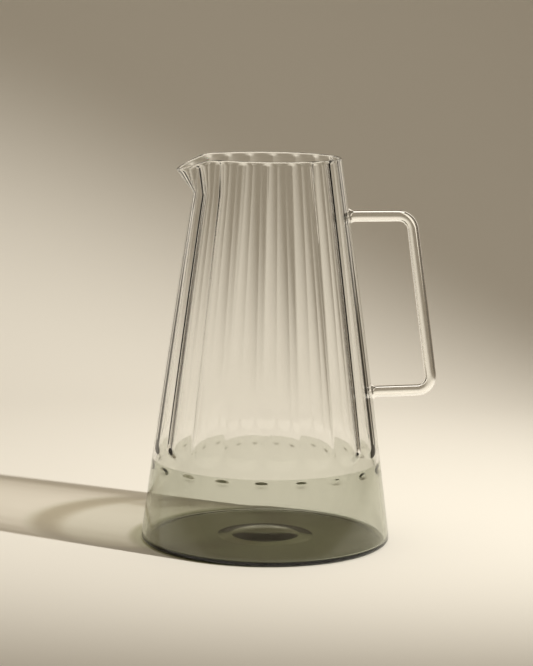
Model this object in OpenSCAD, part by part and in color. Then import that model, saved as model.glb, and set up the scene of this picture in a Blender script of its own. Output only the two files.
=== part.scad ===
// Fluted water jug in blown glass: a clear conical wall with inner flutes and a pulled
// lip, a smoke glass base cup with a punt, and a bent rod handle fused on by two gathers.
// Millimetres, +Z up, the foot on Z = 0, handle towards +X, lip towards -X.

/* [Jug] */
// Diameter that the wall line reaches at the table
foot_d = 140; // [120:1:160]
// Diameter of the wall at the rim
rim_d = 79; // [70:1:90]
// Height of the rim above the table
jug_h = 215; // [195:1:235]
// How far the wall swells out half way up
wall_bow = 0.75; // [0:0.05:1.5]
// Height of the fused seam between smoke and clear glass
seam_h = 46.5; // [38:0.5:56]

/* [Clear wall] */
// Thickness of the glass in the plain band and in the smoke cup
wall_t = 2.2; // [1.8:0.1:2.8]
// Thickness of the glass at the bottom of a flute
flute_wall_t = 1.3; // [1:0.1:1.7]
// Number of flutes round the inside, and of the ridges between them
flute_count = 18; // [12:1:24]
// How far a ridge stands over the bottom of a flute
ridge_h = 1.2; // [0.6:0.1:1.6]
// Power by which the glass thickens towards a ridge
ridge_power = 2.1; // [1.5:0.1:3]
// Rounding of a ridge
ridge_soft = 0.3; // [0.1:0.1:0.8]
// Plain band between the seam and the lowest flute ends
plain_band_h = 3.5; // [2:0.5:8]
// Height over which a flute runs out
flute_end_h = 6.5; // [4:0.5:10]
// How much higher a flute ends beside a ridge than in its middle
end_arch_h = 3.5; // [1:0.5:6]
// Height of the fire-polished rounding of the rim
rim_soft = 0.9; // [0.6:0.1:1.2]
// Thickness of the glass at the rim
rim_t = 1.6; // [1.3:0.1:2.2]
// Height under the rim over which the ridges melt away
rim_melt_h = 1.2; // [0.8:0.1:5]
// Angle from the handle to the nearest ridge
flute_turn = 2.8; // [0:0.1:10]

/* [Lip] */
// How far the lip stands out past the rim circle
lip_reach = 12.5; // [9:0.1:15]
// How far the tip of the lip lies below the rim
lip_drop = 6.7; // [4:0.1:9]
// Height of wall that is pulled out to make the lip
lip_h = 19.5; // [16:0.5:24]
// Angle that sets how steeply the sides of the lip run to its tip
lip_open = 64; // [54:1:68]
// Angle over which the tip is rounded
lip_soft = 21.5; // [14:0.5:26]
// Angle to each side of the tip over which the rim dips
lip_spread = 43; // [34:1:52]

/* [Smoke base] */
// Thickness of the floor beside the wall
floor_t = 2; // [1.6:0.1:3]
// How much higher the floor lies in the middle, without the dome
floor_rise = 0.4; // [0.1:0.1:1]
// Rounding of the outer foot corner
foot_round = 2.6; // [2:0.1:4]
// Rounding between the floor and the side wall inside
floor_round = 1.2; // [0.8:0.1:3]
// Width of the flat ring that meets the table
ring_w = 3; // [2:0.5:6]
// Lift of the underside inside that ring
floor_lift = 0.3; // [0.2:0.1:0.8]
// Diameter of the punt, the shallow recess under the floor
punt_d = 54; // [50:1:60]
// Diameter of the level roof of the punt
punt_roof_d = 38; // [30:1:44]
// Depth of the punt
punt_h = 1; // [0.6:0.1:1.4]
// Diameter of the low dome of thick glass over the punt
dome_d = 48; // [40:1:56]
// Diameter of the dome's level top
dome_top_d = 10; // [4:1:16]
// Height of the dome
dome_h = 1.5; // [0.8:0.1:2.5]

/* [Handle] */
// Diameter of the handle rod
rod_d = 6.4; // [5:0.1:8]
// Clear gap between the wall and the grip
finger_gap = 32; // [26:0.5:38]
// Height of the upper bar where it leaves the wall
upper_bar_h = 182.4; // [165:0.5:190]
// Height of the lower bar where it leaves the wall
lower_bar_h = 83.6; // [72:0.5:95]
// Rise of the upper bar away from the wall, in degrees
upper_rise = 0.7; // [0:0.1:4]
// Rise of the lower bar away from the wall, in degrees
lower_rise = 2; // [0:0.1:4]
// Bend radius of the upper corner, to the middle of the rod
upper_bend_r = 8.5; // [6:0.5:12]
// Bend radius of the lower corner, to the middle of the rod
lower_bend_r = 7.5; // [6:0.5:12]
// How much thinner the rod is drawn in a bend
bend_thin = 0.2; // [0.1:0.05:0.6]
// Diameter of a gather where it spreads on the wall
gather_d = 9.4; // [8.4:0.1:12]
// Length of a gather from the wall to the plain rod
gather_l = 3.4; // [2.6:0.2:6]

/* [Hidden] */
foot_r = foot_d / 2;
rim_r = rim_d / 2;
rod_r = rod_d / 2;
bend_tuck = 0.4;
round_fn = 96;
rod_fn = 40;

// Outer radius of the jug at a height: a straight taper with a slight even swell.
function wall_r(z) =
    let (s = z / jug_h)
    foot_r + (rim_r - foot_r) * s + 4 * wall_bow * s * (1 - s);

// Lean of the wall from the vertical, taken from the foot to the rim.
wall_lean = atan((foot_r - rim_r) / jug_h);

// Points of an arc about a centre in the plane of a profile.
function arc(cx, cy, r, a0, a1, n) =
    [for (i = [0 : n]) [cx + r * cos(a0 + (a1 - a0) * i / n), cy + r * sin(a0 + (a1 - a0) * i / n)]];

// Outer wall line from one height to another.
function wall_line(z0, z1, n) =
    [for (i = [0 : n]) let (z = z0 + (z1 - z0) * i / n) [wall_r(z), z]];

// The fluted wall is a loft of closed rings, with the same columns in each flute, closer
// beside the ridge. Ring places are heights on the outer face, the turn over the rim, and
// the same heights back down the inner face.

flute_pitch = 360 / flute_count;
column_shares = [0, 0.06, 0.15, 0.3, 0.5, 0.7, 0.85, 0.94];
columns = flute_count * len(column_shares);
lip_z = jug_h - lip_h;
flute_end_z = seam_h + plain_band_h;
flute_full_z = flute_end_z + end_arch_h + flute_end_h;
rim_z = jug_h - rim_soft;
rim_turns = 4;

ring_heights = concat(
    [seam_h],
    [for (s = [0, 0.2, 0.4, 0.6, 0.8, 1]) flute_end_z + s * (flute_full_z - flute_end_z)],
    [for (s = [0.33, 0.67, 1]) flute_full_z + s * (lip_z - flute_full_z)],
    [for (s = [0.25, 0.5]) lip_z + s * (rim_z - lip_z)],
    [for (s = [1, 0.5, 0]) rim_z - s * rim_melt_h]
);

// Share of the flute pitch by which a column lies past its ridge.
function column_share(c) = column_shares[c % len(column_shares)];

function column_angle(c) =
    flute_turn + (floor(c / len(column_shares)) + column_share(c)) * flute_pitch;

// Nearness to a ridge: 1 on the rounded ridge, 0 in the middle of a flute.
function nearness(c, z) =
    let (
        half = flute_pitch / 2 * PI / 180 * wall_r(z),
        off = min(column_share(c), 1 - column_share(c)) * 2 * half
    )
    max(0, 1 - (sqrt(pow(off, 2) + pow(ridge_soft, 2)) - ridge_soft) / half);

// How far a flute is open at a height: it runs out into the plain band in a round end.
function flute_open(near, z) =
    let (s = max(0, min(1, (z - flute_end_z - end_arch_h * pow(near, 2)) / flute_end_h)))
    s * s * (3 - 2 * s);

// How far the ridges have melted into the rim at a height.
function rim_melt(z) =
    let (s = max(0, 1 - (rim_z - z) / rim_melt_h))
    s * s * (3 - 2 * s);

function glass_t(c, z) =
    let (
        near = nearness(c, z),
        fluted_t = flute_wall_t + ridge_h * pow(near, ridge_power),
        t = wall_t + (fluted_t - wall_t) * flute_open(near, z)
    )
    t + (rim_t - t) * rim_melt(z);

// Angle from the middle of the lip, 0 to 180.
function lip_angle(a) = abs((a % 360 + 360) % 360 - 180);

// Share of the lip that is out at a height.
function lip_share(z) = max(0, (z - lip_z) / lip_h);

// How far the lip stands out at an angle, as a share of its reach. Two lines that would
// meet at the tip stand 1 / cos(w) out from a circle, and the tip is rounded.
function lip_bulge(a) =
    let (w = max(0, lip_open + lip_soft - sqrt(pow(lip_angle(a), 2) + pow(lip_soft, 2))))
    (1 / cos(w) - 1) / (1 / cos(lip_open) - 1);

// How far the rim dips towards the tip of the lip, as a share of the drop: a raised cosine.
function lip_dip(a) = (1 + cos(180 * min(1, lip_angle(a) / lip_spread))) / 2;

// A point of the wall: depth 0 is the outer face and 1 the inner face.
function wall_point(c, z, depth, lift) =
    let (
        a = column_angle(c),
        share = lip_share(z),
        stretch = 1 + lip_reach * share * lip_bulge(a) / wall_r(z),
        r = (wall_r(z) - depth * glass_t(c, z)) * stretch
    )
    [r * cos(a), r * sin(a), z + lift * rim_soft - lip_drop * share * lip_dip(a)];

function ring(z, depth, lift) = [for (c = [0 : columns - 1]) wall_point(c, z, depth, lift)];

wall_rings = concat(
    [for (z = ring_heights) ring(z, 0, 0)],
    [for (turn = [1 : rim_turns - 1])
        let (a = 180 * turn / rim_turns)
        ring(rim_z, (1 - cos(a)) / 2, sin(a))],
    [for (i = [len(ring_heights) - 1 : -1 : 0]) ring(ring_heights[i], 1, 0)]
);

// Closes a stack of rings end to end into one solid, two triangles to a cell.
module loft_loop(rings) {
    n = len(rings);
    m = len(rings[0]);
    points = [for (r = rings, p = r) p];
    faces = [
        for (i = [0 : n - 1], j = [0 : m - 1])
            let (
                i2 = (i + 1) % n,
                j2 = (j + 1) % m,
                a = i * m + j,
                b = i * m + j2,
                c = i2 * m + j2,
                d = i2 * m + j
            )
            each [[a, c, b], [a, d, c]]
    ];
    polyhedron(points, faces);
}

module fluted_body() {
    color([0.93, 0.94, 0.9, 0.5])
        loft_loop(wall_rings);
}

// The smoke base is one revolved profile: punt, foot ring, rounded corner, side wall up to
// the seam, inner wall, and the floor with its dome, where the glass is left thick.

dome_steps = 12;
corner_steps = 8;
dome_r = dome_d / 2;
dome_top_r = dome_top_d / 2;

// Height of the floor over its edge at a radius: a slight climb and a cosine dome.
function floor_climb(r) =
    floor_rise * (1 - r / corner_x)
    + (r >= dome_r ? 0 : dome_h * (1 + cos(180 * max(0, r - dome_top_r) / (dome_r - dome_top_r))) / 2);

ring_in_r = foot_r - foot_round - ring_w;
floor_z = floor_lift + floor_t;
corner_x = wall_r(floor_z + floor_round) - wall_t - floor_round;

base_profile = concat(
    [[0, floor_lift + punt_h], [punt_roof_d / 2, floor_lift + punt_h], [punt_d / 2, floor_lift]],
    [[ring_in_r - ring_w, floor_lift], [ring_in_r, 0]],
    arc(wall_r(foot_round) - foot_round, foot_round, foot_round, -90, 0, corner_steps),
    [for (p = wall_line(foot_round, seam_h, 4)) if (p[1] > foot_round) p],
    [[wall_r(seam_h) - wall_t, seam_h]],
    arc(corner_x, floor_z + floor_round, floor_round, 0, -90, corner_steps),
    [for (i = [dome_steps : -1 : 0])
        let (r = dome_top_r + (dome_r - dome_top_r) * i / dome_steps)
        [r, floor_z + floor_climb(r)]],
    [[0, floor_z + floor_climb(0)]]
);

module smoke_base() {
    color([0.45, 0.49, 0.4, 0.7])
        rotate_extrude($fn = round_fn)
            polygon(base_profile);
}

// The handle rod runs in the XZ plane: out along the upper bar, down the grip at the lean of the
// wall, and back along the lower bar. The corners are where the bar lines meet the grip
// line. The pieces are built outwards from the grip, so that their ends match exactly.

grip_foot_x = foot_r + finger_gap + rod_r / cos(wall_lean);
upper_root = [wall_r(upper_bar_h), upper_bar_h];
lower_root = [wall_r(lower_bar_h), lower_bar_h];

// Length of a bar line from its root on the wall to the grip line.
function bar_reach(root, rise) =
    (grip_foot_x - root[0] - root[1] * tan(wall_lean)) / (cos(rise) + sin(rise) * tan(wall_lean));

upper_reach = bar_reach(upper_root, upper_rise);
lower_reach = bar_reach(lower_root, lower_rise);
upper_corner = upper_root + upper_reach * [cos(upper_rise), sin(upper_rise)];
lower_corner = lower_root + lower_reach * [cos(lower_rise), sin(lower_rise)];

// Angle that the rod turns through at each corner, and the length of line a bend takes up.
upper_turn = 90 - wall_lean + upper_rise;
lower_turn = 90 + wall_lean - lower_rise;
upper_cut = upper_bend_r * tan(upper_turn / 2);
lower_cut = lower_bend_r * tan(lower_turn / 2);
grip_l = norm(upper_corner - lower_corner) - upper_cut - lower_cut;

// A bend that sets off along +Z and turns towards -X, with the straight bar after it.
// The rod draws a little thinner in the bend, whose ends are tucked into the straights.
module bend_and_bar(bend_r, turn, bar_l) {
    tuck = bend_tuck / bend_r * 180 / PI;
    translate([-bend_r, 0, 0]) {
        rotate([90, 0, 0])
            rotate([0, 0, -tuck])
                rotate_extrude(angle = turn + 2 * tuck, $fn = round_fn)
                    translate([bend_r, 0])
                        circle(r = rod_r - bend_thin / 2, $fn = rod_fn);
        rotate([0, -turn, 0])
            translate([bend_r, 0, 0])
                cylinder(r = rod_r, h = bar_l, $fn = rod_fn);
    }
}

module handle_rod() {
    color([0.93, 0.94, 0.9, 0.5])
        translate([lower_corner[0], 0, lower_corner[1]])
            rotate([0, -wall_lean, 0])
                translate([0, 0, lower_cut]) {
                    cylinder(r = rod_r, h = grip_l, $fn = rod_fn);
                    translate([0, 0, grip_l])
                        bend_and_bar(upper_bend_r, upper_turn, upper_reach - upper_cut - gather_l);
                    mirror([0, 0, 1])
                        bend_and_bar(lower_bend_r, lower_turn, lower_reach - lower_cut - gather_l);
                }
}

// A gather is a trumpet of glass that flows from the rod onto the wall. It is revolved
// about the bar and cut to the wall, so it seats face to face on the clear glass.

flare_steps = 8;
gather_sink = gather_d * tan(wall_lean);
flare_profile = concat(
    [[0, -gather_sink], [gather_d / 2, -gather_sink]],
    [for (i = [0 : flare_steps])
        let (s = i / flare_steps)
        [rod_r + (gather_d / 2 - rod_r) * pow(1 - s, 2.2), gather_l * s]],
    [[0, gather_l]]
);

module wall_core() {
    rotate_extrude($fn = round_fn)
        polygon(concat([[0, seam_h]], wall_line(seam_h, jug_h, 8), [[0, jug_h]]));
}

module gather(root, rise) {
    difference() {
        translate([root[0], 0, root[1]])
            rotate([0, 90 - rise, 0])
                rotate_extrude($fn = rod_fn)
                    polygon(flare_profile);
        wall_core();
    }
}

module upper_handle_gather() {
    color([0.9, 0.92, 0.88, 0.6])
        gather(upper_root, upper_rise);
}

module lower_handle_gather() {
    color([0.9, 0.92, 0.88, 0.6])
        gather(lower_root, lower_rise);
}

fluted_body();
smoke_base();
handle_rod();
upper_handle_gather();
lower_handle_gather();
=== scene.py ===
import math

import bpy
import numpy as np
from mathutils import Matrix, Vector


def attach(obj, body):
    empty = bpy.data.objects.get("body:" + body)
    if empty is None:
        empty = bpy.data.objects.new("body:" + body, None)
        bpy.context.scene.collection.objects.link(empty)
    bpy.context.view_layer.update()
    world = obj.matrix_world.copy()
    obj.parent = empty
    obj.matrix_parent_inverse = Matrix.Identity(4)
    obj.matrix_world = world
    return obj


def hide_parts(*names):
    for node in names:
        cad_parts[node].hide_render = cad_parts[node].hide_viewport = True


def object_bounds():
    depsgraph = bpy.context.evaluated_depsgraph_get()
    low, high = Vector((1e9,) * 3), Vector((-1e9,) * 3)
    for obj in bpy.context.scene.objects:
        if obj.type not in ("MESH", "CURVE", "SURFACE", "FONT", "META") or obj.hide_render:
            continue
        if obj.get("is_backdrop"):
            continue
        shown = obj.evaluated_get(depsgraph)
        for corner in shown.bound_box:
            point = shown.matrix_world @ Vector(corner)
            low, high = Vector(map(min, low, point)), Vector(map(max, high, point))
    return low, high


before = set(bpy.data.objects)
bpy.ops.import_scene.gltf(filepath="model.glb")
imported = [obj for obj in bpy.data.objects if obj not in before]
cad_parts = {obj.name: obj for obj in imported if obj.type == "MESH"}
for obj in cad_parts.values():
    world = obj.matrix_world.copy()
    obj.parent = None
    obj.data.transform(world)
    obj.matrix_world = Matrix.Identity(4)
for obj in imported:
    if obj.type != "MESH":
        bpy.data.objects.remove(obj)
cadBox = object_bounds()
print("frame loaded:", len(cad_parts), "CAD nodes")

mm = 0.001
viewTurn = math.radians(-5.0)  # the photograph looks at the jug from five degrees past square
sharpAngle = math.radians(38.0)  # an edge that turns by more than this stays crisp

# The form that all the pieces share, in millimetres, as in part.scad.
jugForm = {
    "footRadius": 70.0,
    "rimRadius": 39.5,
    "height": 215.0,
    "bow": 0.75,
    "seam": 46.5,
    "wall": 2.2,
}


def wallRadius(z):
    # straight taper from foot to rim plus a parabola that swells by bow half way up
    s = z / jugForm["height"]
    taper = jugForm["footRadius"] + (jugForm["rimRadius"] - jugForm["footRadius"]) * s
    return taper + 4 * jugForm["bow"] * s * (1 - s)


def smoothStep(x):
    # 3x^2 - 2x^3, with x held between 0 and 1
    x = np.clip(x, 0, 1)
    return x * x * (3 - 2 * x)


def raisedCosine(x):
    # (1 + cos(pi x)) / 2, with x held between 0 and 1
    return (1 + np.cos(np.pi * np.clip(x, 0, 1))) / 2


def roundAngles(count):
    # equal steps once round, in one row
    return np.linspace(0, 2 * np.pi, count, endpoint=False)[None, :]


def srgbToLinear(code):
    # hex colour to linear rgb: each channel c becomes ((c + 0.055) / 1.055) ^ 2.4, or c / 12.92 when dark
    channels = [int(code[i : i + 2], 16) / 255 for i in (1, 3, 5)]
    return tuple(c / 12.92 if c <= 0.04045 else ((c + 0.055) / 1.055) ** 2.4 for c in channels) + (1.0,)


def addNode(tree, kind, settings=None, links=None):
    # a node with its settings, sockets by name or number, and the sockets that feed it
    node = tree.nodes.new(kind)
    for key, value in (settings or {}).items():
        if isinstance(key, int) or key in node.inputs:
            node.inputs[key].default_value = value
        else:
            setattr(node, key, value)
    for key, source in (links or {}).items():
        tree.links.new(source, node.inputs[key])
    return node


def newMaterial(name):
    material = bpy.data.materials.new(name)
    material.use_nodes = True
    material.node_tree.nodes.clear()
    return material, material.node_tree


def fillRamp(ramp, tones):
    # stops of a colour ramp from pairs of place and hex colour, the first place at 0 and the last at 1
    stops = ramp.color_ramp.elements
    for i, (place, code) in enumerate(tones):
        at = (place - tones[0][0]) / (tones[-1][0] - tones[0][0])
        stop = stops[0] if i == 0 else stops[-1] if i == len(tones) - 1 else stops.new(at)
        stop.position, stop.color = at, srgbToLinear(code)


# meshes from grids of points


def gridMesh(name, grid, wrapRows=False, startPole=None, endPole=None, rowMaterial=None):
    # grid is rows x columns x 3 in millimetres, with each row closed on itself. A pole closes an end to a
    # point, and rowMaterial gives the material slot of each row of faces.
    rows, columns = grid.shape[:2]
    points = [grid.reshape(-1, 3)]
    index = np.arange(rows * columns).reshape(rows, columns)
    low = index if wrapRows else index[:-1]
    high = np.roll(index, -1, axis=0) if wrapRows else index[1:]
    quads = np.stack([low, np.roll(low, -1, axis=1), np.roll(high, -1, axis=1), high], axis=-1)
    if rowMaterial is None:
        rowMaterial = np.zeros(len(quads), int)
    slots = np.broadcast_to(rowMaterial[:, None], quads.shape[:2]).reshape(-1)
    quads = quads.reshape(-1, 4)
    fans = []
    count = rows * columns
    for pole, ring, flip in ((startPole, index[0], True), (endPole, index[-1], False)):
        if pole is None:
            continue
        points.append(np.array([pole["at"]], float))
        tip = np.full(columns, count)
        count += 1
        pair = (np.roll(ring, -1), ring) if flip else (ring, np.roll(ring, -1))
        fans.append((np.stack([pair[0], pair[1], tip], axis=-1), pole.get("material", 0)))
    mesh = bpy.data.meshes.new(name)
    allPoints = np.concatenate(points) * mm
    loops = np.concatenate([quads.reshape(-1)] + [f.reshape(-1) for f, _ in fans])
    sizes = np.concatenate([np.full(len(quads), 4)] + [np.full(len(f), 3) for f, _ in fans])
    starts = np.concatenate([[0], np.cumsum(sizes)[:-1]])
    slots = np.concatenate([slots] + [np.full(len(f), m) for f, m in fans])
    mesh.vertices.add(len(allPoints))
    mesh.vertices.foreach_set("co", allPoints.reshape(-1))
    mesh.loops.add(len(loops))
    mesh.loops.foreach_set("vertex_index", loops)
    mesh.polygons.add(len(sizes))
    mesh.polygons.foreach_set("loop_start", starts)
    mesh.polygons.foreach_set("material_index", slots)
    mesh.polygons.foreach_set("use_smooth", np.ones(len(sizes), bool))
    mesh.update(calc_edges=True)
    mesh.validate()
    mesh.set_sharp_from_angle(angle=sharpAngle)
    return mesh


def addPiece(name, mesh, materials, node):
    piece = bpy.data.objects.new(name, mesh)
    bpy.context.scene.collection.objects.link(piece)
    for material in materials:
        mesh.materials.append(material)
    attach(piece, "root")
    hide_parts(node)
    print(name, "made:", len(mesh.polygons), "faces")


# Borosilicate glass, mouth blown: index 1.473, no roughness on its fire-polished skin, and faint waves from
# the blowing some 12 mm apart. The smoke tint lies in the thickness of the glass. Rays from lamps and from
# the paper pass as through a thin sheet that is darker when met edge on.

glassLook = {
    "index": 1.473,
    "clearTint": "#fefefd",
    "rodTint": "#fefefc",
    "smokeTint": "#aab090",
    "smokeDensity": 165.0,
    "waveSpacing": 12.0,
    "waveHeight": 0.010,
    "shadowFace": "#f9f8f6",
    "shadowEdge": "#a39d90",
    "rodShadowFace": "#e6e2d8",
    "rodShadowEdge": "#6f685c",
    "shadowPower": 1.6,
    "fusedBand": 0.01,
}
allLight = "#ffffff"

# Share of lamp light that each glass face lets by, from the foot up in mm: the thick foot and floor and the
# ring of drops under the seam throw darker shadows.
shadowBands = (
    (0, "#cdd0bf"),
    (4, "#cdd0bf"),
    (6, "#ffffff"),
    (30, "#ffffff"),
    (36, "#d0cab9"),
    (41, "#d0cab9"),
    (45, "#ffffff"),
)


def blownSkin(tree, place, tint):
    # the polished face, with the faint waves of the blowing
    waves = addNode(
        tree,
        "ShaderNodeTexNoise",
        {"Scale": 1 / (glassLook["waveSpacing"] * mm), "Detail": 2.0, "Roughness": 0.4},
        {"Vector": place},
    )
    bump = addNode(
        tree,
        "ShaderNodeBump",
        {"Strength": 1.0, "Distance": glassLook["waveHeight"] * mm},
        {"Height": waves.outputs["Fac"]},
    )
    polished = {
        "Base Color": srgbToLinear(tint),
        "Roughness": 0.0,
        "IOR": glassLook["index"],
        "Transmission Weight": 1.0,
    }
    return addNode(tree, "ShaderNodeBsdfPrincipled", polished, {"Normal": bump.outputs["Normal"]})


def lampSheet(tree, height, shadowFace, shadowEdge):
    # the thin sheet that lamp light passes: shadowFace + (shadowEdge - shadowFace) * facing ^ shadowPower,
    # where facing goes from 0 when met square on to 1 when met edge on, times the share at this height
    facing = addNode(tree, "ShaderNodeLayerWeight", {"Blend": 0.5})
    edge = addNode(
        tree,
        "ShaderNodeMath",
        {"operation": "POWER", 1: glassLook["shadowPower"]},
        {0: facing.outputs["Facing"]},
    )
    shade = addNode(
        tree,
        "ShaderNodeMix",
        {"data_type": "RGBA", 6: srgbToLinear(shadowFace), 7: srgbToLinear(shadowEdge)},
        {0: edge.outputs[0]},
    )
    low, high = shadowBands[0][0] * mm, shadowBands[-1][0] * mm
    share = addNode(tree, "ShaderNodeMapRange", {"From Min": low, "From Max": high}, {0: height})
    bands = addNode(tree, "ShaderNodeValToRGB", {}, {0: share.outputs[0]})
    fillRamp(bands, shadowBands)
    dimmed = addNode(
        tree,
        "ShaderNodeMix",
        {"data_type": "RGBA", "blend_type": "MULTIPLY", 0: 1.0},
        {6: shade.outputs[2], 7: bands.outputs["Color"]},
    )
    return addNode(tree, "ShaderNodeBsdfTransparent", {}, {"Color": dimmed.outputs[2]})


def glassMaterial(name, tint, shadowFace, shadowEdge, smoke=False):
    material, tree = newMaterial(name)
    coords = addNode(tree, "ShaderNodeTexCoord")
    split = addNode(tree, "ShaderNodeSeparateXYZ", {}, {0: coords.outputs["Object"]})
    height = split.outputs["Z"]
    skin = blownSkin(tree, coords.outputs["Object"], tint)
    sheet = lampSheet(tree, height, shadowFace, shadowEdge)
    path = addNode(tree, "ShaderNodeLightPath")
    lampRay = addNode(
        tree,
        "ShaderNodeMath",
        {"operation": "MAXIMUM"},
        {0: path.outputs["Is Shadow Ray"], 1: path.outputs["Is Diffuse Ray"]},
    )
    parts = {0: lampRay.outputs[0], 1: skin.outputs[0], 2: sheet.outputs[0]}
    glass = addNode(tree, "ShaderNodeMixShader", {}, parts)
    out = addNode(tree, "ShaderNodeOutputMaterial", {}, {"Surface": glass.outputs[0]})
    if smoke:
        # the top face, level with the seam, is fused to the clear glass and has no skin
        seamLevel = (jugForm["seam"] - glassLook["fusedBand"]) * mm
        atSeam = addNode(tree, "ShaderNodeMath", {"operation": "GREATER_THAN", 1: seamLevel}, {0: height})
        bare = addNode(tree, "ShaderNodeBsdfTransparent", {"Color": srgbToLinear(allLight)})
        parts = {0: atSeam.outputs[0], 1: glass.outputs[0], 2: bare.outputs[0]}
        whole = addNode(tree, "ShaderNodeMixShader", {}, parts)
        tree.links.new(whole.outputs[0], out.inputs["Surface"])
        body = addNode(
            tree,
            "ShaderNodeVolumeAbsorption",
            {"Color": srgbToLinear(glassLook["smokeTint"]), "Density": glassLook["smokeDensity"]},
        )
        tree.links.new(body.outputs[0], out.inputs["Volume"])
    return material


def fusedMaterial():
    # where two pieces are fused there is no skin, so nothing shows there
    material, tree = newMaterial("fusedFace")
    bare = addNode(tree, "ShaderNodeBsdfTransparent", {"Color": srgbToLinear(allLight)})
    addNode(tree, "ShaderNodeOutputMaterial", {}, {"Surface": bare.outputs[0]})
    return material


clearGlass = glassMaterial(
    "clearBorosilicate", glassLook["clearTint"], glassLook["shadowFace"], glassLook["shadowEdge"]
)
rodGlass = glassMaterial(
    "drawnRodGlass", glassLook["rodTint"], glassLook["rodShadowFace"], glassLook["rodShadowEdge"]
)
smokeGlass = glassMaterial("smokeBorosilicate", allLight, allLight, glassLook["shadowEdge"], smoke=True)
fusedFace = fusedMaterial()
print("glass materials made")

# fluted body

bodyForm = {
    "ribs": 18,
    "ribTurn": 2.8,
    "fluteWall": 1.3,
    "ridgeHeight": 1.2,
    "ridgePower": 2.1,
    "ridgeSoft": 0.3,
    "plainBand": 3.5,
    "fluteEnd": 6.5,
    "endArch": 3.5,
    "dropHeight": 0.65,
    "dropWidth": 14.0,
    "dropLength": 5.2,
    "dropDown": 3.4,
    "lipReach": 12.5,
    "lipDrop": 6.7,
    "lipHeight": 19.5,
    "lipOpen": 64.0,
    "lipSoft": 21.5,
    "lipSpread": 43.0,
    "rimSoft": 0.9,
    "rimThickness": 1.6,
    "rimMelt": 1.2,
    "fuseGap": 0.02,
    "columns": 1080,
    "endRings": 40,
    "fluteRings": 12,
    "lipRings": 30,
    "rimRings": 11,
}


def lipPull(angle, z):
    # radius factor and dip of the lip. Two lines that would meet at the tip stand 1 / cos(w) out from a
    # circle, with w falling away from the tip, and the angle from the tip is rounded by a hyperbola. The dip
    # is a raised cosine of that angle.
    f = bodyForm
    share = np.clip((z - jugForm["height"] + f["lipHeight"]) / f["lipHeight"], 0, None)
    away = np.abs((np.degrees(angle) % 360) - 180)
    w = np.radians(np.clip(f["lipOpen"] + f["lipSoft"] - np.hypot(away, f["lipSoft"]), 0, None))
    bulge = (1 / np.cos(w) - 1) / (1 / math.cos(math.radians(f["lipOpen"])) - 1)
    dip = raisedCosine(away / f["lipSpread"])
    return 1 + f["lipReach"] * share * bulge / wallRadius(z), f["lipDrop"] * share * dip


def glassThickness(angle, z):
    # hollow flutes that meet in soft ridges: the wall grows as (1 - d / half pitch)^power toward a ridge,
    # where d is the distance from it, rounded by a hyperbola. The flutes run out into the plain band in round
    # ends, and below each ridge, under the seam, lies a low drop of glass, a raised cosine. Under the rim the
    # ridges melt to one thickness.
    f = bodyForm
    pitch = 2 * math.pi / f["ribs"]
    half = pitch * wallRadius(z) / 2
    off = ((angle - math.radians(f["ribTurn"]) + pitch / 2) % pitch - pitch / 2) * wallRadius(z)
    near = np.clip(1 - (np.hypot(off, f["ridgeSoft"]) - f["ridgeSoft"]) / half, 0, 1)
    endZ = jugForm["seam"] + f["plainBand"] + f["endArch"] * near**2
    opened = smoothStep((z - endZ) / f["fluteEnd"])
    fluted = f["fluteWall"] + f["ridgeHeight"] * near ** f["ridgePower"]
    dropSide = 2 * off / f["dropWidth"]
    dropRise = 2 * (z - jugForm["seam"] + f["dropDown"]) / f["dropLength"]
    drop = f["dropHeight"] * raisedCosine(np.hypot(dropSide, dropRise))
    thickness = jugForm["wall"] + (fluted - jugForm["wall"]) * opened + drop
    melted = smoothStep(1 - (jugForm["height"] - f["rimSoft"] - z) / f["rimMelt"])
    return thickness + (f["rimThickness"] - thickness) * melted


def wallPoint(angle, z, depth, lift):
    # outer face at depth 0, inner face at depth 1, lifted by a share of the height over which the rim is
    # rounded
    radius = wallRadius(z) - depth * glassThickness(angle, z)
    pull, dip = lipPull(angle, z)
    height = z + lift * bodyForm["rimSoft"] - dip
    return np.stack([radius * pull * np.cos(angle), radius * pull * np.sin(angle), height], axis=-1)


def makeBody():
    # rings up the outside, over the rim in a half turn and down the inside, closed by the fused face
    f = bodyForm
    angle = roundAngles(f["columns"])
    seam, top = jugForm["seam"] + f["fuseGap"], jugForm["height"] - f["rimSoft"]
    fadeTop = jugForm["seam"] + f["plainBand"] + f["fluteEnd"] + f["endArch"]
    stops = [seam, fadeTop, jugForm["height"] - f["lipHeight"], top]
    counts = (f["endRings"], f["fluteRings"], f["lipRings"])
    parts = [np.linspace(low, high, count)[:-1] for low, high, count in zip(stops, stops[1:], counts)]
    heights = np.concatenate(parts + [stops[-1:]])[:, None]
    turn = np.linspace(0, np.pi, f["rimRings"])[1:-1, None]
    up = wallPoint(angle, heights, 0.0, 0.0)
    over = wallPoint(angle, np.full_like(turn, top), (1 - np.cos(turn)) / 2, np.sin(turn))
    down = wallPoint(angle, heights[::-1], 1.0, 0.0)
    grid = np.concatenate([up, over, down])
    rowMaterial = np.zeros(len(grid), int)
    rowMaterial[-1] = 1
    return gridMesh("flutedBody", grid, wrapRows=True, rowMaterial=rowMaterial)


addPiece("flutedBody", makeBody(), [clearGlass, fusedFace], "fluted_body")

# smoke base

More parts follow.
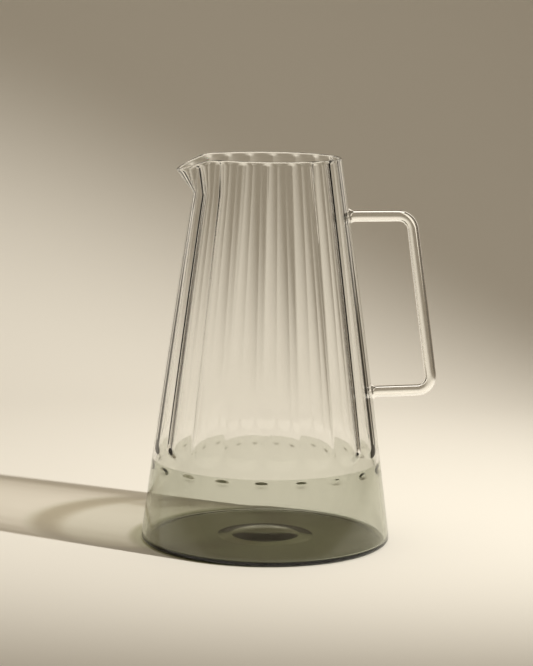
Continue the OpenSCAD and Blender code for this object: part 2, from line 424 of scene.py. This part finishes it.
baseForm = {
    "floor": 2.0,
    "floorRise": 0.4,
    "footRound": 2.6,
    "floorRound": 1.2,
    "ringWidth": 3.0,
    "ringSoft": 0.025,
    "floorLift": 0.3,
    "puntRadius": 27.0,
    "roofRadius": 19.0,
    "puntDepth": 1.0,
    "domeRadius": 24.0,
    "domeTop": 5.0,
    "domeHeight": 1.5,
    "edgeSoft": 0.3,
    "poleRing": 1.0,
    "sideGap": 2.0,
    "dropZone": 6.0,
    "dropZoneGap": 3.0,
    "cornerGap": 1.0,
    "columns": 360,
    "puntRings": 6,
    "arcRings": 14,
    "sideRings": 16,
    "dropRings": 14,
    "innerRings": 8,
    "floorRings": 8,
    "domeRings": 40,
}


def arcLine(cx, cz, radius, start, end, count):
    # points (cx + r cos a, cz + r sin a) for a from start to end in degrees
    a = np.radians(np.linspace(start, end, count))
    return np.stack([cx + radius * np.cos(a), cz + radius * np.sin(a)], axis=-1)


def puntRise(r):
    # the shallow recess under the floor: a level roof, then a straight slope down to its edge
    b = baseForm
    return b["puntDepth"] * np.clip((b["puntRadius"] - r) / (b["puntRadius"] - b["roofRadius"]), 0, 1)


def floorRise(r):
    # the floor climbs a little toward the middle, where the glass is left thick as a low dome, a raised
    # cosine
    b = baseForm
    climb = b["floorRise"] * np.clip(1 - r / jugForm["footRadius"], 0, 1)
    return climb + b["domeHeight"] * raisedCosine((r - b["domeTop"]) / (b["domeRadius"] - b["domeTop"]))


def makeBase():
    # the section from the middle underneath, out, up the wall, over the seam and back to the middle inside
    b, seam, foot = baseForm, jugForm["seam"], jugForm["footRadius"]
    roof, edge, soft, ringSoft = b["roofRadius"], b["puntRadius"], b["edgeSoft"], b["ringSoft"]
    ringIn = foot - b["footRound"] - b["ringWidth"]
    floorEnd = ringIn - b["ringWidth"]
    stops = [b["poleRing"], roof - soft, roof + soft, edge - soft, edge + soft, floorEnd - soft]
    parts = [np.linspace(low, high, b["puntRings"])[:-1] for low, high in zip(stops, stops[1:])]
    under = np.concatenate(parts + [stops[-1:]])
    ring = [
        [floorEnd + soft, b["floorLift"] - ringSoft],
        [ringIn - soft, ringSoft],
        [ringIn + soft, 0.0],
        [foot - b["footRound"] - soft, 0.0],
    ]
    footX = float(wallRadius(b["footRound"])) - b["footRound"]
    side = np.linspace(b["footRound"] + b["sideGap"], seam, b["sideRings"])
    floorZ = b["floorLift"] + b["floor"]
    cornerZ = floorZ + b["floorRound"]
    cornerX = float(wallRadius(cornerZ)) - jugForm["wall"] - b["floorRound"]
    dropEnd = seam - b["dropZone"]
    dropZone = np.linspace(seam, dropEnd, b["dropRings"])
    plain = np.linspace(dropEnd - b["dropZoneGap"], cornerZ + b["cornerGap"], b["innerRings"])
    inner = np.concatenate([dropZone, plain])
    flat = np.linspace(cornerX - soft, b["domeRadius"] + soft, b["floorRings"])
    inside = np.concatenate([flat, np.linspace(b["domeRadius"], b["poleRing"], b["domeRings"])])
    outerRows = [
        np.stack([under, b["floorLift"] + puntRise(under)], axis=-1),
        ring,
        arcLine(footX, b["footRound"], b["footRound"], -90, 0, b["arcRings"]),
        np.stack([wallRadius(side), side], axis=-1),
    ]
    innerRows = [
        np.stack([wallRadius(inner), inner], axis=-1),
        arcLine(cornerX, cornerZ, b["floorRound"], 0, -90, b["arcRings"]),
        np.stack([inside, floorZ + floorRise(inside)], axis=-1),
    ]
    profile = np.concatenate(outerRows + innerRows)
    angle = roundAngles(b["columns"])
    radius, height = profile[:, :1] + 0 * angle, profile[:, 1:] + 0 * angle
    firstInner = sum(len(rows) for rows in outerRows)
    wallRows = slice(firstInner, firstInner + len(inner))
    radius[wallRows] -= glassThickness(angle, height[wallRows])
    grid = np.stack([radius * np.cos(angle), radius * np.sin(angle), height], axis=-1)
    return gridMesh(
        "smokeBase",
        grid,
        startPole={"at": [0, 0, b["floorLift"] + b["puntDepth"]]},
        endPole={"at": [0, 0, floorZ + b["floorRise"] + b["domeHeight"]]},
    )


addPiece("smokeBase", makeBase(), [smokeGlass], "smoke_base")

# handle

handleForm = {
    "rod": 6.4,
    "gap": 32.0,
    "upperBar": 182.4,
    "lowerBar": 83.6,
    "upperRise": 0.7,
    "lowerRise": 2.0,
    "upperBend": 8.5,
    "lowerBend": 7.5,
    "bendThin": 0.2,
    "gather": 9.4,
    "gatherLength": 3.4,
    "flarePower": 2.2,
    "sides": 48,
    "barRings": 10,
    "bendRings": 26,
    "gripRings": 24,
    "blendRings": 7,
    "gatherRings": 18,
    "patchShares": (0.25, 0.5, 0.75),
}


def handleLine():
    # the two bars: root on the wall, unit direction, and the corner where each meets the grip, which leans
    # as the wall does
    h = handleForm
    lean = math.atan((jugForm["footRadius"] - jugForm["rimRadius"]) / jugForm["height"])
    gripFoot = jugForm["footRadius"] + h["gap"] + h["rod"] / 2 / math.cos(lean)
    ends = []
    for bar, slope in (("upperBar", "upperRise"), ("lowerBar", "lowerRise")):
        rise = math.radians(h[slope])
        root = np.array([float(wallRadius(h[bar])), h[bar]])
        reach = gripFoot - root[0] - root[1] * math.tan(lean)
        run = reach / (math.cos(rise) + math.sin(rise) * math.tan(lean))
        out = np.array([math.cos(rise), math.sin(rise)])
        ends.append({"root": root, "out": out, "corner": root + run * out})
    return ends


def bendPoints(before, corner, after, radius):
    # arc of the given radius that touches the lines into and out of a corner
    into = (corner - before) / np.linalg.norm(corner - before)
    away = (after - corner) / np.linalg.norm(after - corner)
    turn = math.acos(float(into @ away))
    cut = radius * math.tan(turn / 2)
    start = corner - cut * into
    side = away - into * float(into @ away)
    side /= np.linalg.norm(side)
    s = np.linspace(0, turn, handleForm["bendRings"])[:, None]
    return start + radius * (np.sin(s) * into + (1 - np.cos(s)) * side)


def makeRod(upper, lower):
    # circles carried along the bent line, square to it, a little thinner in the bends
    h = handleForm
    start = upper["root"] + h["gatherLength"] * upper["out"]
    end = lower["root"] + h["gatherLength"] * lower["out"]
    upperArc = bendPoints(start, upper["corner"], lower["corner"], h["upperBend"])
    lowerArc = bendPoints(upper["corner"], lower["corner"], end, h["lowerBend"])
    barShare = np.linspace(0, 1, h["barRings"])[:, None]
    gripShare = np.linspace(0, 1, h["gripRings"])[1:-1, None]
    upperBar = start + (upperArc[0] - start) * barShare[:-1]
    grip = upperArc[-1] + (lowerArc[0] - upperArc[-1]) * gripShare
    lowerBar = lowerArc[-1] + (end - lowerArc[-1]) * barShare[1:]
    legs = [upperBar, upperArc, grip, lowerArc, lowerBar]
    line = np.concatenate(legs)
    # 1 in the bends and 0 between them, blended by a running mean
    bend = np.concatenate([np.full(len(leg), i % 2, float) for i, leg in enumerate(legs)])
    window = h["blendRings"]
    bend = np.convolve(np.pad(bend, window // 2, mode="edge"), np.ones(window) / window, mode="valid")
    radius = h["rod"] / 2 - bend * h["bendThin"] / 2
    along = np.gradient(line, axis=0)
    along /= np.linalg.norm(along, axis=1)[:, None]
    across = np.stack([-along[:, 1], along[:, 0]], axis=-1)
    a = roundAngles(h["sides"])
    x = line[:, :1] + radius[:, None] * np.cos(a) * across[:, :1]
    z = line[:, 1:] + radius[:, None] * np.cos(a) * across[:, 1:]
    y = radius[:, None] * np.sin(a)
    grid = np.stack([x, y, z], axis=-1)
    caps = [{"at": [p[0], 0, p[1]], "material": 1} for p in (line[0], line[-1])]
    return gridMesh("handleRod", grid, startPole=caps[0], endPole=caps[1])


def onWall(ringRadius, level, a):
    # a ring round the bar, laid on the wall: x = sqrt(wall radius^2 - y^2)
    y = ringRadius * np.sin(a)
    z = level + ringRadius * np.cos(a)
    return np.stack([np.sqrt(wallRadius(z) ** 2 - y**2) + bodyForm["fuseGap"], y, z], axis=-1)


def makeGather(name, end):
    # trumpet round the bar: its foot ring lies on the wall, its radius falls to the rod's as
    # (1 - s) ^ flarePower
    h = handleForm
    a = roundAngles(h["sides"])
    s = np.linspace(0, 1, h["gatherRings"])[:, None]
    rod, foot, level = h["rod"] / 2, h["gather"] / 2, end["root"][1]
    radius = rod + (foot - rod) * (1 - s) ** h["flarePower"]
    centre = end["root"] + h["gatherLength"] * end["out"]
    ringX = centre[0] - radius * np.cos(a) * end["out"][1]
    ringZ = centre[1] + radius * np.cos(a) * end["out"][0]
    rodRing = np.stack([ringX, radius * np.sin(a), ringZ], axis=-1)
    wallRing = onWall(radius, level, a)
    flare = wallRing + (rodRing - wallRing) * s[..., None]
    patch = onWall(foot * np.array(h["patchShares"])[:, None], level, a)
    grid = np.concatenate([patch, flare])
    rowMaterial = np.zeros(len(grid) - 1, int)
    rowMaterial[: len(patch)] = 1
    middle = [float(wallRadius(level)) + bodyForm["fuseGap"], 0, level]
    caps = [{"at": middle, "material": 1}, {"at": [centre[0], 0, centre[1]], "material": 1}]
    return gridMesh(name, grid, startPole=caps[0], endPole=caps[1], rowMaterial=rowMaterial)


upperEnd, lowerEnd = handleLine()
rodFaces = [rodGlass, fusedFace]
addPiece("handleRod", makeRod(upperEnd, lowerEnd), rodFaces, "handle_rod")
addPiece("upperGather", makeGather("upperGather", upperEnd), rodFaces, "upper_handle_gather")
addPiece("lowerGather", makeGather("lowerGather", lowerEnd), rodFaces, "lower_handle_gather")

# studio

studio = {
    "floorHalfWidth": 1600.0,
    "floorFront": -1500.0,
    "coveStart": 420.0,
    "coveRadius": 900.0,
    "coveRings": 40,
    "wallTop": 2200.0,
    "paper": "#f0ebe1",
    "airColour": "#d2c2a8",
    "airStrength": 0.24,
    "keyAside": 28.6,
    "keyHeight": 30.0,
    "keyDistance": 1970.0,
    "keyAim": (-354.0, 382.0, 0.0),
    "keyCone": 31.4,
    "keyRadius": 27.0,
    "keyPower": 245.0,
    "keyColour": "#fffdf7",
}


def turned(points):
    # points turned about the jug's axis by viewTurn: (x cos t - y sin t, x sin t + y cos t, z)
    c, s = math.cos(viewTurn), math.sin(viewTurn)
    x, y = points[..., 0] * c - points[..., 1] * s, points[..., 0] * s + points[..., 1] * c
    return np.stack([x, y, points[..., 2]], axis=-1)


def makePaper():
    # uncoated cream paper: matt, one plain colour. From behind and from below the sheet is see-through, so
    # that the jug's back and its foot can be looked at.
    material, tree = newMaterial("creamPaper")
    paper = addNode(tree, "ShaderNodeBsdfDiffuse", {"Color": srgbToLinear(studio["paper"])})
    side = addNode(tree, "ShaderNodeNewGeometry")
    bare = addNode(tree, "ShaderNodeBsdfTransparent", {"Color": srgbToLinear(allLight)})
    parts = {0: side.outputs["Backfacing"], 1: paper.outputs[0], 2: bare.outputs[0]}
    sheet = addNode(tree, "ShaderNodeMixShader", {}, parts)
    addNode(tree, "ShaderNodeOutputMaterial", {}, {"Surface": sheet.outputs[0]})
    return material


def makeSweep():
    # paper sweep: level floor, quarter circle cove and upright wall in one sheet
    n = studio
    turn = np.linspace(0, np.pi / 2, n["coveRings"])
    coveY = n["coveStart"] + n["coveRadius"] * np.sin(turn)
    coveZ = n["coveRadius"] * (1 - np.cos(turn))
    y = np.concatenate([[n["floorFront"], 0], coveY, coveY[-1:]])[:, None]
    z = np.concatenate([[0, 0], coveZ, [n["wallTop"]]])[:, None]
    x = np.array([[-n["floorHalfWidth"], 0.0, n["floorHalfWidth"]]])
    grid = turned(np.stack(np.broadcast_arrays(x, y, z), axis=-1)) * mm
    rows, columns = grid.shape[:2]
    index = np.arange(rows * columns).reshape(rows, columns)
    quads = np.stack([index[:-1, :-1], index[:-1, 1:], index[1:, 1:], index[1:, :-1]], axis=-1)
    quads = quads.reshape(-1, 4)
    mesh = bpy.data.meshes.new("paperSweep")
    mesh.from_pydata(grid.reshape(-1, 3).tolist(), [], quads.tolist())
    mesh.polygons.foreach_set("use_smooth", np.ones(len(quads), bool))
    mesh.update()
    mesh.materials.append(makePaper())
    sweep = bpy.data.objects.new("paperSweep", mesh)
    bpy.context.scene.collection.objects.link(sweep)
    sweep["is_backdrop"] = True


makeSweep()

world = bpy.data.worlds.new("studioAir")
bpy.context.scene.world = world
world.use_nodes = True
air = world.node_tree.nodes["Background"]
air.inputs["Color"].default_value = srgbToLinear(studio["airColour"])
air.inputs["Strength"].default_value = studio["airStrength"]


def addLamp(name, data, at, aim):
    # a lamp in its place, its light along the line to its aim
    lamp = bpy.data.objects.new(name, data)
    bpy.context.scene.collection.objects.link(lamp)
    place, target = (Vector(turned(np.array(v, float)) * mm) for v in (at, aim))
    lamp.location = place
    lamp.rotation_euler = (place - target).to_track_quat("Z", "Y").to_euler()
    return lamp


# Soft boxes: rectangles that give off the same light all over. The side ones show only in the glass.
panels = {
    "leftPanel": {
        "at": (-520, 820, 420),
        "aim": (0, 0, 120),
        "size": (460, 1000),
        "radiance": 0.85,
        "colour": "#fff6e6",
        "onPaper": False,
    },
    "rightPanel": {
        "at": (520, 820, 420),
        "aim": (0, 0, 120),
        "size": (460, 1000),
        "radiance": 0.85,
        "colour": "#fff6e6",
        "onPaper": False,
    },
    "topPanel": {
        "at": (0, 100, 1300),
        "aim": (0, 0, 0),
        "size": (1200, 900),
        "radiance": 1.25,
        "colour": "#fff8ec",
        "onPaper": True,
    },
}


def addPanel(name, panel):
    # power in watts = pi * radiance * area
    data = bpy.data.lights.new(name, "AREA")
    data.shape = "RECTANGLE"
    data.size, data.size_y = (side * mm for side in panel["size"])
    data.energy = math.pi * panel["radiance"] * data.size * data.size_y
    data.color = srgbToLinear(panel["colour"])[:3]
    lamp = addLamp(name, data, panel["at"], panel["aim"])
    lamp.visible_diffuse = panel["onPaper"]


for panelName, panel in panels.items():
    addPanel(panelName, panel)


def addKeyLight():
    # a spot with a soft cone, right of the camera: it throws the jug's shadow and the pool of light on the
    # paper
    n = studio
    data = bpy.data.lights.new("keyLight", "SPOT")
    data.energy, data.shadow_soft_size = n["keyPower"], n["keyRadius"] * mm
    data.spot_size, data.spot_blend = math.radians(n["keyCone"]), 1.0
    data.color = srgbToLinear(n["keyColour"])[:3]
    aside, up = math.radians(n["keyAside"]), math.radians(n["keyHeight"])
    toKey = np.array([math.cos(up) * math.cos(aside), -math.cos(up) * math.sin(aside), math.sin(up)])
    addLamp("keyLight", data, toKey * n["keyDistance"], n["keyAim"])


addKeyLight()
print("studio made")

# camera

cameraSet = {
    "distance": 1300.0,
    "height": 310.6,
    "pitch": 8.479,
    "yaw": -0.030,
    "roll": 0.775,
    "lens": 127.53,
    "sensor": 36.0,
    "clipNear": 50.0,
    "clipFar": 20000.0,
}


def makeCamera():
    # forward by pitch and yaw, then the picture's right and up turned by roll
    c = cameraSet
    pitch, yaw, roll = (math.radians(c[k]) for k in ("pitch", "yaw", "roll"))
    forward = np.array([math.sin(yaw) * math.cos(pitch), math.cos(yaw) * math.cos(pitch), -math.sin(pitch)])
    right = np.cross(forward, [0, 0, 1])
    right /= np.linalg.norm(right)
    up = np.cross(right, forward)
    rolled = math.cos(roll) * right + math.sin(roll) * up
    above = -math.sin(roll) * right + math.cos(roll) * up
    place = np.array([0, -c["distance"], c["height"]]) * mm
    axes = [turned(v) for v in (rolled, above, -forward, place)]
    data = bpy.data.cameras.new("studioCamera")
    data.lens = c["lens"]
    data.sensor_width = c["sensor"]
    data.clip_start, data.clip_end = c["clipNear"] * mm, c["clipFar"] * mm
    camera = bpy.data.objects.new("studioCamera", data)
    bpy.context.scene.collection.objects.link(camera)
    matrix = np.eye(4)
    matrix[:3, :4] = np.stack(axes, axis=-1)
    camera.matrix_world = Matrix(matrix.tolist())
    bpy.context.scene.camera = camera


makeCamera()
bpy.context.scene.view_settings.view_transform = "Standard"
print("camera set")

sizes = {"cad": cadBox, "visual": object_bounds()}
sizes = {key: np.asarray(value).tolist() for key, value in sizes.items()}
